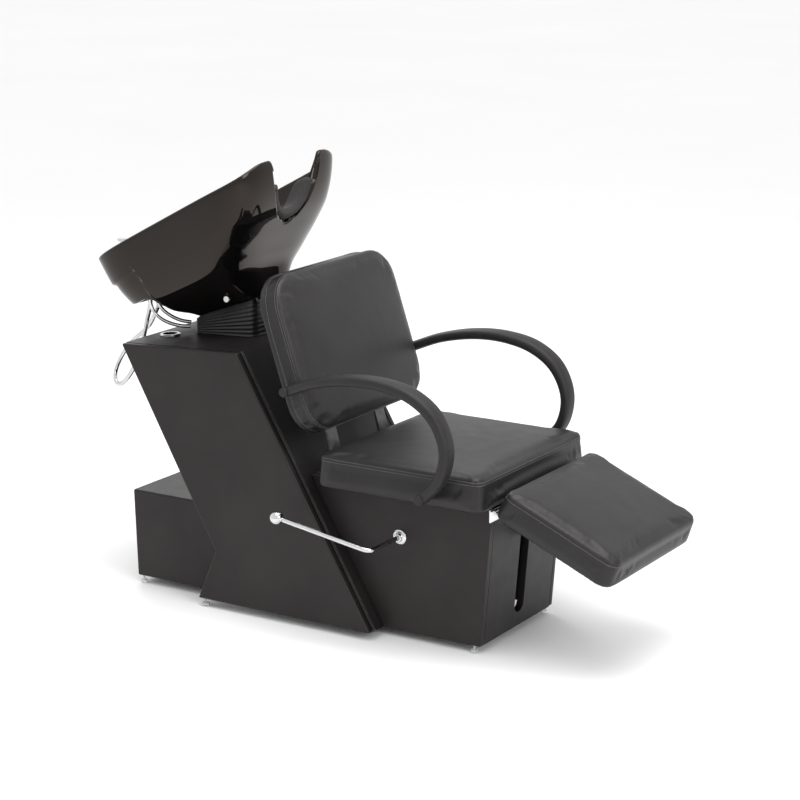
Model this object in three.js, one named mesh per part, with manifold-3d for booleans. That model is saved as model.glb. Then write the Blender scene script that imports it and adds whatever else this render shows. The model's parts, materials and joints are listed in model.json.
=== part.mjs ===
// Shampoo backwash unit: a salon armchair with a swinging leg rest, on a panelled base, in front of a tilting
// ceramic basin. Millimetres and degrees. +X is the way the sitter faces, +Y the sitter's left, z = 0 the floor.
import * as THREE from "three";
import { mergeVertices } from "three/addons/utils/BufferGeometryUtils.js";
import Module from "manifold-3d";

const wasm = await Module();
wasm.setup();

// ---- Driving dimensions ----
const GAP = 0.3; // between pieces that touch
const GLIDE_HEIGHT = 20; // underside of every box above the floor
const PANEL = 20; // upholstered panel thickness

const BODY_HALF = 242;
const BODY_OUTLINE = [[-409, GLIDE_HEIGHT], [-353, 152], [-631, 648], [-280, 665], [101, GLIDE_HEIGHT]];
const PLINTH_HALF = 176;
const PLINTH_OUTLINE = [[-650, GLIDE_HEIGHT], [-658, 250], [-408.5, 250], [-353.6, 152], [-409.6, GLIDE_HEIGHT]];
const BASE_HALF = 180;
const BASE_TOP = 371.5;
const BASE_FOOT_X = 372;
const BASE_BROW_X = 401;
const SLOT_WIDTH = 45;
const SLOT_LOW = 56;
const SLOT_HIGH = 305;

const SEAT = { back: -40, front: 416, half: 262, low: 372, frameTop: 425, top: 458 };
const BACK_FOOT = [-35, 500]; // lower edge of the backrest's front face, in X and Z
const BACK_RECLINE = 18.5;
const BACK = { length: 388, half: 256, depth: 60, padDepth: 18, corner: 85 };

const HINGE = [415, 360]; // leg-rest hinge, in X and Z
const LEG_SLOPE = 23.5;
const LEG = { start: 3, end: 328, half: 221, under: 4, boardTop: 17, top: 78, corner: 34 };

const STRUT_FOOT = [140, 300]; // strut pivot in the base, in X and Z
const STRUT_HEAD = [280, -26]; // strut pivot under the leg rest, along and across the leg rest
const STRUT_REST_LENGTH = 526.8;

const ARM_Y = 295;
const ARM_END_Y = 281;

const LEVER_PIVOT = [149, 256];
const LEVER_REACH_Y = -316;
const LEVER_BALL = [-113, 297];
const BALL_RADIUS = 17.3;

const RIM_REAR = [-740, 845]; // rear middle of the basin's rim, in X and Z
const BOWL_TILT = 28;
const TILT_PIN = [-525, 668];
const CHINA = 10; // ceramic thickness
const DECK = -50; // rear deck below the rim plane
const DRAIN_U = 266;
const TAP = [44, -106]; // mixer on the deck: along the bowl, and across it
const SPRAY = [44, -50];
const CLAMP_SCREW = [272, -234]; // through the pedestal, along the bowl and up from its rim
const CENTRE_SHIFT = 10; // moves the floor point under the middle of the whole unit to x = 0

// ---- Solid helpers ----
const rad = THREE.MathUtils.degToRad;
const unit = new THREE.Group();
unit.position.x = CENTRE_SHIFT;

function toSolid(geometry) {
  const plain = geometry.index ? geometry.toNonIndexed() : geometry.clone();
  plain.deleteAttribute("normal");
  plain.deleteAttribute("uv");
  const merged = mergeVertices(plain, 1e-3);
  const vertProperties = merged.attributes.position.array;
  const triVerts = new Uint32Array(merged.index.array);
  return new wasm.Manifold(new wasm.Mesh({ numProp: 3, vertProperties, triVerts }));
}

function toGeometry(solid) {
  const { vertProperties, triVerts, numProp, numVert } = solid.getMesh();
  const points = new Float32Array(numVert * 3);
  for (let i = 0; i < numVert; i++) {
    points.set(vertProperties.subarray(i * numProp, i * numProp + 3), i * 3);
  }
  const geometry = new THREE.BufferGeometry();
  geometry.setAttribute("position", new THREE.BufferAttribute(points, 3));
  geometry.setIndex(new THREE.BufferAttribute(triVerts, 1));
  return geometry;
}

function cut(body, ...tools) {
  return toGeometry(tools.reduce((left, tool) => left.subtract(toSolid(tool)), toSolid(body)));
}

function join(first, ...others) {
  return toGeometry(others.reduce((sum, piece) => sum.add(toSolid(piece)), toSolid(first)));
}

function common(first, ...others) {
  return toGeometry(others.reduce((sum, piece) => sum.intersect(toSolid(piece)), toSolid(first)));
}

function box(x, y, z) {
  const geometry = new THREE.BoxGeometry(x[1] - x[0], y[1] - y[0], z[1] - z[0]);
  return geometry.translate((x[0] + x[1]) / 2, (y[0] + y[1]) / 2, (z[0] + z[1]) / 2);
}

// A shape drawn in X and Z, extruded along Y.
function shapeAlongY(shape, y, curveSegments = 5) {
  const options = { depth: y[1] - y[0], bevelEnabled: false, curveSegments };
  return new THREE.ExtrudeGeometry(shape, options).rotateX(Math.PI / 2).translate(0, y[1], 0);
}

function prism(outline, y) {
  return shapeAlongY(new THREE.Shape(outline.map(([x, z]) => new THREE.Vector2(x, z))), y);
}

// A round bar between two points given as [x, y, z].
function rod(from, to, radius, sides = 16) {
  const start = new THREE.Vector3(...from);
  const along = new THREE.Vector3(...to).sub(start);
  const turn = new THREE.Quaternion().setFromUnitVectors(new THREE.Vector3(0, 1, 0), along.clone().normalize());
  const middle = start.addScaledVector(along, 0.5);
  const bar = new THREE.CylinderGeometry(radius, radius, along.length(), sides);
  return bar.applyQuaternion(turn).translate(middle.x, middle.y, middle.z);
}

function rodY([x, z], y, radius, sides = 16) {
  return rod([x, y[0], z], [x, y[1], z], radius, sides);
}

// A round tube along a smooth curve through [x, y, z] points.
function tube(points, radius, sides, steps) {
  const section = new THREE.Shape();
  for (let i = 0; i < sides; i++) {
    const turn = (2 * Math.PI * i) / sides;
    const [x, y] = [radius * Math.cos(turn), radius * Math.sin(turn)];
    if (i === 0) section.moveTo(x, y);
    else section.lineTo(x, y);
  }
  section.closePath();
  const path = new THREE.CatmullRomCurve3(points.map((point) => new THREE.Vector3(...point)), false, "centripetal");
  return new THREE.ExtrudeGeometry(section, { steps, extrudePath: path, bevelEnabled: false });
}

// A turned piece: the profile is [radius, height] pairs, closed on itself or ending on the axis.
function turned(profile, x, y, sides = 24) {
  const outline = profile.map(([radius, height]) => new THREE.Vector2(radius, height));
  return new THREE.LatheGeometry(outline, sides).rotateX(Math.PI / 2).translate(x, y, 0);
}

// A closed skin over rings of points, from the lowest ring to the highest, each turning anticlockwise from above.
function loft(rings) {
  const count = rings[0].length;
  const points = [];
  const triangles = [];
  const centre = (ring) => ring.reduce((sum, p) => sum.add(p), new THREE.Vector3()).divideScalar(count);
  rings.forEach((ring) => ring.forEach((p) => points.push(p.x, p.y, p.z)));
  for (let level = 0; level + 1 < rings.length; level++) {
    for (let i = 0; i < count; i++) {
      const [a, b] = [level * count + i, level * count + ((i + 1) % count)];
      triangles.push(a, b, b + count, a, b + count, a + count);
    }
  }
  const [bottom, top] = [points.length / 3, points.length / 3 + 1];
  points.push(...centre(rings[0]).toArray(), ...centre(rings.at(-1)).toArray());
  const last = (rings.length - 1) * count;
  for (let i = 0; i < count; i++) {
    const next = (i + 1) % count;
    triangles.push(bottom, next, i, top, last + i, last + next);
  }
  const geometry = new THREE.BufferGeometry();
  geometry.setAttribute("position", new THREE.Float32BufferAttribute(points, 3));
  geometry.setIndex(triangles);
  return geometry;
}

// A level superellipse ring: from x0 to x1, half-width half, at height z plus an optional lift that depends on x.
function ring(x0, x1, half, z, power, lift = () => 0, count = 36) {
  const points = [];
  for (let i = 0; i < count; i++) {
    const turn = (2 * Math.PI * i) / count;
    const [c, s] = [Math.cos(turn), Math.sin(turn)];
    const x = (x0 + x1) / 2 + ((x1 - x0) / 2) * Math.sign(c) * Math.abs(c) ** (2 / power);
    const y = half * Math.sign(s) * Math.abs(s) ** (2 / power);
    points.push(new THREE.Vector3(x, y, z + lift(x)));
  }
  return points;
}

// A rounded rectangle lying in X and Y, made into a plate between two heights.
function roundedPlate(x, half, z, cornerBack, cornerFront) {
  const shape = new THREE.Shape();
  shape.moveTo(x[0] + cornerBack, -half);
  shape.lineTo(x[1] - cornerFront, -half);
  shape.quadraticCurveTo(x[1], -half, x[1], -half + cornerFront);
  shape.lineTo(x[1], half - cornerFront);
  shape.quadraticCurveTo(x[1], half, x[1] - cornerFront, half);
  shape.lineTo(x[0] + cornerBack, half);
  shape.quadraticCurveTo(x[0], half, x[0], half - cornerBack);
  shape.lineTo(x[0], -half + cornerBack);
  shape.quadraticCurveTo(x[0], -half, x[0] + cornerBack, -half);
  const options = { depth: z[1] - z[0], bevelEnabled: false, curveSegments: 5 };
  return new THREE.ExtrudeGeometry(shape, options).translate(0, 0, z[0]);
}

const FINISH = {
  leather: { color: 0x1c1b1c, roughness: 0.5, metalness: 0 },
  wood: { color: 0xb08a5a, roughness: 0.7, metalness: 0 },
  ceramic: { color: 0x070708, roughness: 0.06, metalness: 0 },
  chrome: { color: 0xd8d8da, roughness: 0.12, metalness: 1 },
  steel: { color: 0x55575a, roughness: 0.45, metalness: 0.9 },
  armPlastic: { color: 0x242021, roughness: 0.48, metalness: 0 },
  rubber: { color: 0x1a1a1a, roughness: 0.75, metalness: 0 },
  clearPlastic: { color: 0xd9dcdc, roughness: 0.3, metalness: 0 },
};

function add(group, name, geometry, finish) {
  const mesh = new THREE.Mesh(geometry, new THREE.MeshStandardMaterial(FINISH[finish]));
  mesh.name = name;
  group.add(mesh);
}

// Each side's name ending and sign along Y; _r is the sitter's right.
const SIDES = [["r", -1], ["l", 1]];
const span = (sign, near, far) => (sign > 0 ? [near, far] : [-far, -near]);

// The outline's edge number i as a plate of the panel thickness, mitred and a little short at both ends.
function edgePlate(outline, i, thickness) {
  const corner = (k) => new THREE.Vector2(...outline[(k + outline.length) % outline.length]);
  const inward = (k) => {
    const along = corner(k + 1).sub(corner(k)).normalize();
    return new THREE.Vector2(along.y, -along.x);
  };
  const inner = (k) => {
    const [m, n] = [inward(k - 1), inward(k)];
    return corner(k).addScaledVector(m.clone().add(n), thickness / (1 + m.dot(n)));
  };
  const trim = corner(i + 1).sub(corner(i)).normalize().multiplyScalar(GAP);
  const [a, b] = [corner(i).add(trim), corner(i + 1).sub(trim)];
  const [c, d] = [inner(i + 1).sub(trim), inner(i).add(trim)];
  return [a, b, c, d].map((p) => [p.x, p.y]);
}

// ---- Panelled body under the basin ----
const [BODY_TOP_REAR, BODY_TOP_FRONT] = [BODY_OUTLINE[2], BODY_OUTLINE[3]];
const BODY_TOP_RISE = (BODY_TOP_FRONT[1] - BODY_TOP_REAR[1]) / (BODY_TOP_FRONT[0] - BODY_TOP_REAR[0]);
const bodyTopZ = (x) => BODY_TOP_REAR[1] + (x - BODY_TOP_REAR[0]) * BODY_TOP_RISE;
const GROMMET = [-579, -107];
const DRAIN_WAY = [-385, 0];

function upright([x, y], radius, z) {
  return rod([x, y, z[0]], [x, y, z[1]], radius, 20);
}

function addBody() {
  for (const [side, sign] of SIDES) {
    const y = span(sign, BODY_HALF - PANEL, BODY_HALF);
    add(unit, "body_side_panel_" + side, prism(BODY_OUTLINE, y), "leather");
  }
  const inside = [-(BODY_HALF - PANEL - GAP), BODY_HALF - PANEL - GAP];
  const plate = (i) => prism(edgePlate(BODY_OUTLINE, i, PANEL - 2), inside);
  const top = cut(plate(2), upright(GROMMET, 22.8, [600, 700]), upright(DRAIN_WAY, 34, [600, 700]));
  add(unit, "body_rear_upper_panel", plate(1), "leather");
  add(unit, "body_top_panel", top, "leather");
  add(unit, "body_front_panel", plate(3), "leather");
  const profile = [[18.5, -16], [21, -16], [21, 0.5], [26.5, 0.5], [26.5, 2.7], [24, 4.7], [18.5, 4.7], [18.5, -16]];
  const ringPiece = turned(profile, 0, 0, 28);
  ringPiece.rotateY(-Math.atan(BODY_TOP_RISE)).translate(GROMMET[0], GROMMET[1], bodyTopZ(GROMMET[0]));
  add(unit, "hose_grommet_ring", ringPiece, "chrome");
}

// ---- Low plinth behind the body ----
function addPlinth() {
  const outer = prism(PLINTH_OUTLINE, [-PLINTH_HALF, PLINTH_HALF]);
  const hollow = prism([[-632, 0], [-639, 232], [-330, 232], [-330, 0]], [-PLINTH_HALF + 18, PLINTH_HALF - 18]);
  add(unit, "plinth_shell", cut(outer, hollow), "leather");
}

// ---- Base box under the seat ----
function baseOutline() {
  const [topX, topZ] = BODY_OUTLINE[3];
  const [toeX, toeZ] = BODY_OUTLINE[4];
  const faceX = (z) => toeX + ((z - toeZ) * (topX - toeX)) / (topZ - toeZ) + 1;
  return [[faceX(GLIDE_HEIGHT), GLIDE_HEIGHT], [faceX(BASE_TOP), BASE_TOP], [BASE_BROW_X, BASE_TOP], [BASE_FOOT_X, GLIDE_HEIGHT]];
}

function addBase() {
  const outline = baseOutline();
  const wall = 18;
  for (const [side, sign] of SIDES) {
    const panel = prism(outline, span(sign, BASE_HALF - wall, BASE_HALF));
    const bore = rodY(LEVER_PIVOT, [-BASE_HALF - 5, -BASE_HALF + wall + 5], 7.5);
    add(unit, "base_side_panel_" + side, sign < 0 ? cut(panel, bore) : panel, "leather");
  }
  const inside = [-(BASE_HALF - wall - GAP), BASE_HALF - wall - GAP];
  const slot = new THREE.Shape();
  const half = SLOT_WIDTH / 2;
  slot.moveTo(half, SLOT_LOW + half);
  slot.lineTo(half, SLOT_HIGH - half);
  slot.absarc(0, SLOT_HIGH - half, half, 0, Math.PI);
  slot.lineTo(-half, SLOT_LOW + half);
  slot.absarc(0, SLOT_LOW + half, half, Math.PI, 2 * Math.PI);
  const slotTool = new THREE.ExtrudeGeometry(slot, { depth: 120, bevelEnabled: false, curveSegments: 8 });
  slotTool.rotateX(Math.PI / 2).rotateZ(Math.PI / 2).translate(BASE_FOOT_X - 60, 0, 0);
  add(unit, "base_front_panel", cut(prism(edgePlate(outline, 2, wall), inside), slotTool), "leather");
  add(unit, "base_top_board", prism(edgePlate(outline, 1, wall), inside), "wood");
}

function addGlides() {
  const places = { plinth: [-636, 167, 8.5], body: [-392, 232, 9.5], base: [352, 171, 8.5] };
  for (const [name, [x, y, radius]] of Object.entries(places)) {
    for (const [side, sign] of SIDES) {
      const glide = rod([x, sign * y, 0], [x, sign * y, GLIDE_HEIGHT - GAP], radius, 16);
      add(unit, "glide_" + name + "_" + side, glide, "clearPlastic");
    }
  }
}

// ---- Seat ----
const ARM_FRONT_BOLT = [281, 400];
const BOLT_RADIUS = 4;

function addSeat() {
  const hollow = rodY(ARM_FRONT_BOLT, [-300, -200], BOLT_RADIUS + GAP);
  const otherHollow = rodY(ARM_FRONT_BOLT, [200, 300], BOLT_RADIUS + GAP);
  const frame = box([SEAT.back + 12, SEAT.front - 8], [-SEAT.half + 8, SEAT.half - 8], [SEAT.low, SEAT.frameTop]);
  add(unit, "seat_frame", cut(frame, hollow, otherHollow), "wood");
  const cushion = roundedPlate([SEAT.back, SEAT.front], SEAT.half, [SEAT.frameTop + GAP, SEAT.top], 55, 22);
  add(unit, "seat_cushion", cushion, "leather");
}

// ---- Backrest, built upright with its front face at x = 0 and then reclined ----
const backrest = new THREE.Group();
backrest.position.set(BACK_FOOT[0], 0, BACK_FOOT[1]);
backrest.rotation.y = rad(-BACK_RECLINE);
unit.add(backrest);
const ARM_REAR_BOLT = [-99, 604];
const BACK_FRAME_HALF = BACK.half - 5;

function toBackrest([x, z]) {
  const [dx, dz] = [x - BACK_FOOT[0], z - BACK_FOOT[1]];
  const [c, s] = [Math.cos(rad(BACK_RECLINE)), Math.sin(rad(BACK_RECLINE))];
  return [dx * c + dz * s, -dx * s + dz * c];
}

function uprightPlate(depth, half, height, corner) {
  return roundedPlate(height, half, depth, corner, corner).rotateY(-Math.PI / 2);
}

function addBackrest() {
  const bolt = toBackrest(ARM_REAR_BOLT);
  const bores = [rodY(bolt, [-300, -180], BOLT_RADIUS + GAP), rodY(bolt, [180, 300], BOLT_RADIUS + GAP)];
  const depth = [BACK.padDepth + GAP, BACK.depth];
  const frame = uprightPlate(depth, BACK_FRAME_HALF, [6, BACK.length - 6], BACK.corner);
  add(backrest, "backrest_frame", cut(frame, ...bores), "wood");
  const pad = uprightPlate([0, BACK.padDepth], BACK_FRAME_HALF, [0, BACK.length], BACK.corner);
  add(backrest, "backrest_cushion", pad, "leather");
  const [c, s] = [Math.cos(rad(BACK_RECLINE)), Math.sin(rad(BACK_RECLINE))];
  const behind = (depthBack, up) => [BACK_FOOT[0] - depthBack * c - up * s, BACK_FOOT[1] - depthBack * s + up * c];
  const near = BACK.depth + GAP;
  const low = BASE_TOP + GAP;
  const bracket = [[-34, low], [-34, low + 6], [-62, low + 6], behind(near, 12), behind(near, 190), behind(near + 6, 190),
    behind(near + 6, 8), [-70, low]];
  const arms = SIDES.map(([, sign]) => prism(bracket, span(sign, 90, 130)));
  const strap = prism([behind(near, 60), behind(near, 100), behind(near + 6, 100), behind(near + 6, 60)], [-110, 110]);
  add(unit, "back_bracket", join(strap, ...arms), "steel");
}

// ---- Armrests: a flattened bar along a C-shaped centreline, with round ends ----
// Each station: x, z, y, thickness in the plane of the C, thickness across it.
const ARM_STATIONS = [
  [-97, 604, ARM_END_Y, 25, 40],
  [-17, 635, 291, 25, 42],
  [87, 656, ARM_Y, 27, 46],
  [176, 657, ARM_Y, 29, 49],
  [250, 641, ARM_Y, 31, 50],
  [307, 605, ARM_Y, 31, 49],
  [337, 557, ARM_Y, 29, 47],
  [345, 510, ARM_Y, 27, 46],
  [329, 452, ARM_Y, 27, 45],
  [281, 400, 292, 27, 42],
];

function armrest(sign) {
  const centre = new THREE.CatmullRomCurve3(ARM_STATIONS.map(([x, z, y]) => new THREE.Vector3(x, y * sign, z)));
  const sizes = new THREE.CatmullRomCurve3(ARM_STATIONS.map(([, , , thin, wide]) => new THREE.Vector3(thin, wide, 0)));
  const steps = 26;
  const corners = 12;
  const rings = [];
  for (let i = 0; i <= steps; i++) {
    const p = centre.getPoint(i / steps);
    const along = centre.getTangent(i / steps);
    const out = new THREE.Vector3(along.z, 0, -along.x).normalize();
    const size = sizes.getPoint(i / steps);
    const points = [];
    for (let k = 0; k < corners; k++) {
      const turn = (-sign * 2 * Math.PI * (k + 0.5)) / corners;
      const [c, s] = [Math.cos(turn), Math.sin(turn)];
      const across = (size.y / 2) * Math.sign(c) * Math.abs(c) ** 0.65;
      const outward = (size.x / 2) * Math.sign(s) * Math.abs(s) ** 0.65;
      points.push(p.clone().addScaledVector(out, outward * sign).add(new THREE.Vector3(0, across, 0)));
    }
    rings.push(points);
  }
  return loft(rings);
}

function endBoss([x, z], y, radius) {
  return rodY([x, z], y, radius, 20);
}

function addArms() {
  for (const [side, sign] of SIDES) {
    const bosses = [
      endBoss(ARM_REAR_BOLT, span(sign, ARM_END_Y - 18, ARM_END_Y + 18), 12.4),
      endBoss(ARM_FRONT_BOLT, span(sign, 272, 312), 13.4),
    ];
    const bores = [ARM_REAR_BOLT, ARM_FRONT_BOLT].map((p) => rodY(p, span(sign, 200, 340), BOLT_RADIUS + GAP));
    add(unit, "armrest_" + side, cut(join(armrest(sign), ...bosses), ...bores), "armPlastic");
    const spacerBody = rodY(ARM_REAR_BOLT, span(sign, BACK_FRAME_HALF + GAP, ARM_END_Y - 20.4), 11);
    add(unit, "arm_spacer_" + side, cut(spacerBody, bores[0]), "steel");
    for (const [name, place, face] of [["rear", ARM_REAR_BOLT, ARM_END_Y + 21.4], ["front", ARM_FRONT_BOLT, 313.4]]) {
      const head = rodY(place, span(sign, face, face + 3), 9);
      const shank = rodY(place, span(sign, 215, face + 1), BOLT_RADIUS, 12);
      add(unit, "arm_bolt_" + name + "_" + side, join(head, shank), "armPlastic");
    }
  }
}

// ---- Leg rest, built level with the hinge at the origin and then sloped ----
const legRest = new THREE.Group();
legRest.position.set(HINGE[0], 0, HINGE[1]);
legRest.rotation.y = rad(LEG_SLOPE);
unit.add(legRest);
const KNUCKLE = 6;
const PIN = 3;

function addLegRest() {
  const board = box([LEG.start + 6, LEG.end - 12], [-LEG.half + 12, LEG.half - 12], [LEG.under, LEG.boardTop]);
  add(legRest, "leg_rest_board", board, "wood");
  const pad = roundedPlate([LEG.start, LEG.end], LEG.half, [LEG.boardTop + GAP, LEG.top], 16, LEG.corner);
  add(legRest, "leg_rest_pad", pad, "leather");
  const bore = rodY([0, 0], [-260, 260], PIN + GAP, 14);
  const leaf = box([2, 56], [-69, 69], [LEG.under - 3.3, LEG.under - GAP]);
  add(legRest, "leg_hinge_moving_leaf", cut(join(leaf, rodY([0, 0], [-69, 69], KNUCKLE, 14)), bore), "chrome");
  const slack = 1.4;
  const wall = [BASE_BROW_X + slack, BASE_BROW_X + slack + 3];
  const plate = box(wall, [-196, 196], [336, 366]);
  const lugs = SIDES.map(([, sign]) => rodY(HINGE, span(sign, 70, 196), KNUCKLE, 14));
  const webs = SIDES.map(([, sign]) => box([wall[0], HINGE[0] - 3], span(sign, 70, 196), [357, 363]));
  const window = box([wall[0] - 1, HINGE[0] + 20], [-70, 70], [300, 348]);
  const clear = rodY(HINGE, [-70, 70], KNUCKLE + 2, 14);
  const leafWithPin = join(cut(join(plate, ...lugs, ...webs), window, clear), rodY(HINGE, [-198, 198], PIN, 12));
  add(unit, "leg_hinge_fixed_leaf", leafWithPin, "chrome");
}

// ---- Gas strut between the base and the leg rest ----
const legPoint = ([along, across]) => {
  const [c, s] = [Math.cos(rad(LEG_SLOPE)), Math.sin(rad(LEG_SLOPE))];
  return [HINGE[0] + along * c + across * s, HINGE[1] - along * s + across * c];
};

// Two ears with a round end, a pad that ties them, and the pivot pin through them.
function clevis(padX, padZ, [x, z]) {
  const ears = SIDES.map(([, sign]) => {
    const y = span(sign, 9, 13);
    const plate = prism([[padX[0] + 6, (padZ[0] + padZ[1]) / 2], [padX[1] - 6, (padZ[0] + padZ[1]) / 2], [x + 9, z], [x - 9, z]], y);
    return join(plate, rodY([x, z], y, 9.5));
  });
  return join(box(padX, [-24, 24], padZ), ...ears, rodY([x, z], [-15.5, 15.5], 4, 12));
}

function addStrut() {
  const roof = BASE_TOP - 18 - 2 * GAP;
  add(unit, "strut_base_clevis", clevis([STRUT_FOOT[0] - 30, STRUT_FOOT[0] + 30], [roof - 4, roof], STRUT_FOOT), "steel");
  const under = LEG.under - GAP;
  const legClevis = clevis([STRUT_HEAD[0] - 26, STRUT_HEAD[0] + 26], [under - 4, under], STRUT_HEAD);
  add(legRest, "strut_leg_clevis", legClevis, "steel");

  const head = legPoint(STRUT_HEAD);
  const along = [head[0] - STRUT_FOOT[0], head[1] - STRUT_FOOT[1]].map((d) => d / STRUT_REST_LENGTH);
  const at = (distance) => [STRUT_FOOT[0] + along[0] * distance, 0, STRUT_FOOT[1] + along[1] * distance];
  const eyeBore = 4 + 0.4;
  const rodLength = 300;
  const shaft = rod(at(6), at(rodLength), 5, 12);
  const rodEye = rodY(STRUT_FOOT, [-8, 8], 9);
  add(unit, "strut_rod", cut(join(shaft, rodEye), rodY(STRUT_FOOT, [-12, 12], eyeBore, 12)), "chrome");
  const mouth = STRUT_REST_LENGTH - 286;
  const tubeBody = join(rod(at(mouth), at(STRUT_REST_LENGTH - 18), 11, 20), rod(at(STRUT_REST_LENGTH - 20), at(STRUT_REST_LENGTH - 5), 6, 12));
  const tubeEye = rodY(head, [-8, 8], 9);
  const inner = rod(at(mouth - 5), at(STRUT_REST_LENGTH - 26), 7.5, 16);
  const cylinder = cut(join(tubeBody, tubeEye), inner, rodY(head, [-12, 12], eyeBore, 12));
  add(unit, "strut_cylinder", cylinder, "steel");
}

// ---- Release lever on the sitter's right ----
function addLever() {
  const [x, z] = LEVER_PIVOT;
  const face = -BASE_HALF - GAP;
  const flange = join(rodY(LEVER_PIVOT, [face - 4, face], 19, 24), rodY(LEVER_PIVOT, [face - 14, face], 11, 20));
  add(unit, "lever_flange", cut(flange, rodY(LEVER_PIVOT, [face - 20, face + 5], 6.4)), "chrome");
  const [ballX, ballZ] = LEVER_BALL;
  const reach = [ballX - x, ballZ - z];
  const length = Math.hypot(...reach);
  const on = (distance) => [x + (reach[0] * distance) / length, LEVER_REACH_Y, z + (reach[1] * distance) / length];
  const straight = rod([x, -30, z], [x, -300, z], 6, 12);
  const bend = tube([[x, -296, z], [x, -302, z], [x - 5, -314, z + 0.8], on(20), on(28)], 6, 12, 10);
  const arm = rod(on(24), on(length - BALL_RADIUS - GAP), 6, 12);
  add(unit, "lever_arm", join(straight, bend, arm), "chrome");
  const ball = new THREE.SphereGeometry(BALL_RADIUS, 20, 12).translate(ballX, LEVER_REACH_Y, ballZ);
  add(unit, "lever_ball", ball, "chrome");
  const finger = prism([[x - 4, z + 22], [x + 4, z + 22], [x + 11, z], [x - 11, z]], [-60, -50]);
  const cam = join(rodY(LEVER_PIVOT, [-60, -50], 12), finger);
  add(unit, "release_cam", cut(cam, rodY(LEVER_PIVOT, [-70, -40], 6 + GAP, 14)), "steel");
}

// ---- Basin, built level with the rim's rear middle at the origin and then tilted ----
const basin = new THREE.Group();
basin.position.set(RIM_REAR[0], 0, RIM_REAR[1]);
basin.rotation.y = rad(-BOWL_TILT);
unit.add(basin);
const [RIM_BACK, RIM_FRONT, RIM_HALF, RIM_POWER] = [-20, 544, 235, 5];
const HORN_LIFT = 15;
const hornLift = (u) => HORN_LIFT * THREE.MathUtils.smoothstep(u, 400, 540);

function toBasin([x, z]) {
  const [dx, dz] = [x - RIM_REAR[0], z - RIM_REAR[1]];
  const [c, s] = [Math.cos(rad(BOWL_TILT)), Math.sin(rad(BOWL_TILT))];
  return [dx * c + dz * s, -dx * s + dz * c];
}

// Levels of the outside, from the foot up: height, rear, front, half-width, squareness.
const HULL = [
  [-300, 116, 322, 78, 2.8],
  [-262, 110, 326, 84, 2.8],
  [-235, 90, 332, 112, 2.8],
  [-200, 36, 344, 152, 3.2],
  [-165, 8, 382, 188, 4.0],
  [-125, -2, 434, 208, 4.6],
  [-84, -9, 485, 220, 5.0],
  [-78, RIM_BACK, 490, 222, 5.0],
  [-40, RIM_BACK, 521, 229, 5.0],
  [0, RIM_BACK, RIM_FRONT, RIM_HALF, RIM_POWER],
];
// Levels of the washing hollow, from the drain up.
const HOLLOW = [
  [-192, 228, 316, 44, 2.2],
  [-178, 176, 356, 112, 2.4],
  [-145, 136, 408, 158, 2.7],
  [-100, 112, 456, 189, 3.0],
  [-50, 98, 498, 211, 3.4],
];
const FOOT_REAR = [112, -233]; // lowest rear and front corners of the basin's pedestal
const FOOT_FRONT = [324, -259];
const UNDER_TOP = -62;

const hullRings = (inset) => HULL.map(([w, u0, u1, half, power]) => ring(u0 + inset, u1 - inset, half - inset, w, power));
const hollowRings = (grow) => HOLLOW.map(([w, u0, u1, half, power]) => ring(u0 - grow, u1 + grow, half + grow, w - grow, power));

function neckNotch(grow, u) {
  const shape = new THREE.Shape();
  shape.moveTo(-108 - grow, 60);
  shape.lineTo(-101 - grow, -10);
  shape.bezierCurveTo(-88 - grow, -86 - grow, -48, -110 - grow, 0, -110 - grow);
  shape.bezierCurveTo(48, -110 - grow, 88 + grow, -86 - grow, 101 + grow, -10);
  shape.lineTo(108 + grow, 60);
  const options = { depth: u[1] - u[0], bevelEnabled: false, curveSegments: 8 };
  return new THREE.ExtrudeGeometry(shape, options).rotateX(Math.PI / 2).rotateZ(Math.PI / 2).translate(u[0], 0, 0);
}

function addBasin() {
  const outer = loft([...hullRings(0).slice(0, -1), ring(RIM_BACK, RIM_FRONT, RIM_HALF, 0, RIM_POWER, hornLift)]);
  const sink = loft([...hollowRings(0), ring(96, 502, 215, -49, 3.4), ring(94, 546, 226, 40, 4.4)]);
  const deckWell = loft([ring(-6, 300, 214, DECK, 4.6), ring(-9, 300, 224, 40, 4.6)]);
  const under = cut(
    loft([...hullRings(CHINA).slice(0, 7), ring(-5, 480, 204, UNDER_TOP, 4.6)]),
    loft([...hollowRings(CHINA), ring(86, 508, 223, 0, 3.2)]),
  );
  const floorLine = [[-80, -134], [12, -140], [50, -146], [88, -148], [112, -160], [119, -182], [119, -206], [FOOT_REAR[0], FOOT_REAR[1]],
    [FOOT_FRONT[0], FOOT_FRONT[1]], [336, -420], [-80, -420]];
  const skirtCut = prism(floorLine, [-300, 300]);
  const drain = upright([DRAIN_U, 0], 22, [-260, -150]);
  const holes = [
    upright(TAP, 13, [-90, -30]),
    upright(SPRAY, 14, [-90, -30]),
    rodY(CLAMP_SCREW, [-150, 150], 3.6, 12),
  ];
  const china = cut(outer, under, sink, deckWell, skirtCut, neckNotch(0, [380, 620]), drain, ...holes);
  add(basin, "basin_bowl", china, "ceramic");
}

function addNeckRest() {
  const channel = cut(neckNotch(-1, [380, 600]), neckNotch(-25, [370, 610]));
  const slanted = prism([[478, -28], [396, -140], [440, -140], [480, -92], [514, -46], [524, -28]], [-140, 140]);
  add(basin, "neck_rest_pad", common(channel, slanted), "rubber");
}

function addDrain() {
  const outlet = turned([[14, -300], [17, -300], [17, -232], [21, -212], [21, -191.6], [27, -191.6], [27, -189],
    [19, -189], [19, -194], [14, -230], [14, -300]], DRAIN_U, 0);
  add(basin, "drain_outlet", outlet, "chrome");
  const strainer = turned([[0, -192], [17, -192], [18.5, -188.6], [24, -188.6], [24, -186.6], [0, -185]], DRAIN_U, 0);
  add(basin, "drain_strainer", strainer, "chrome");
}

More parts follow.
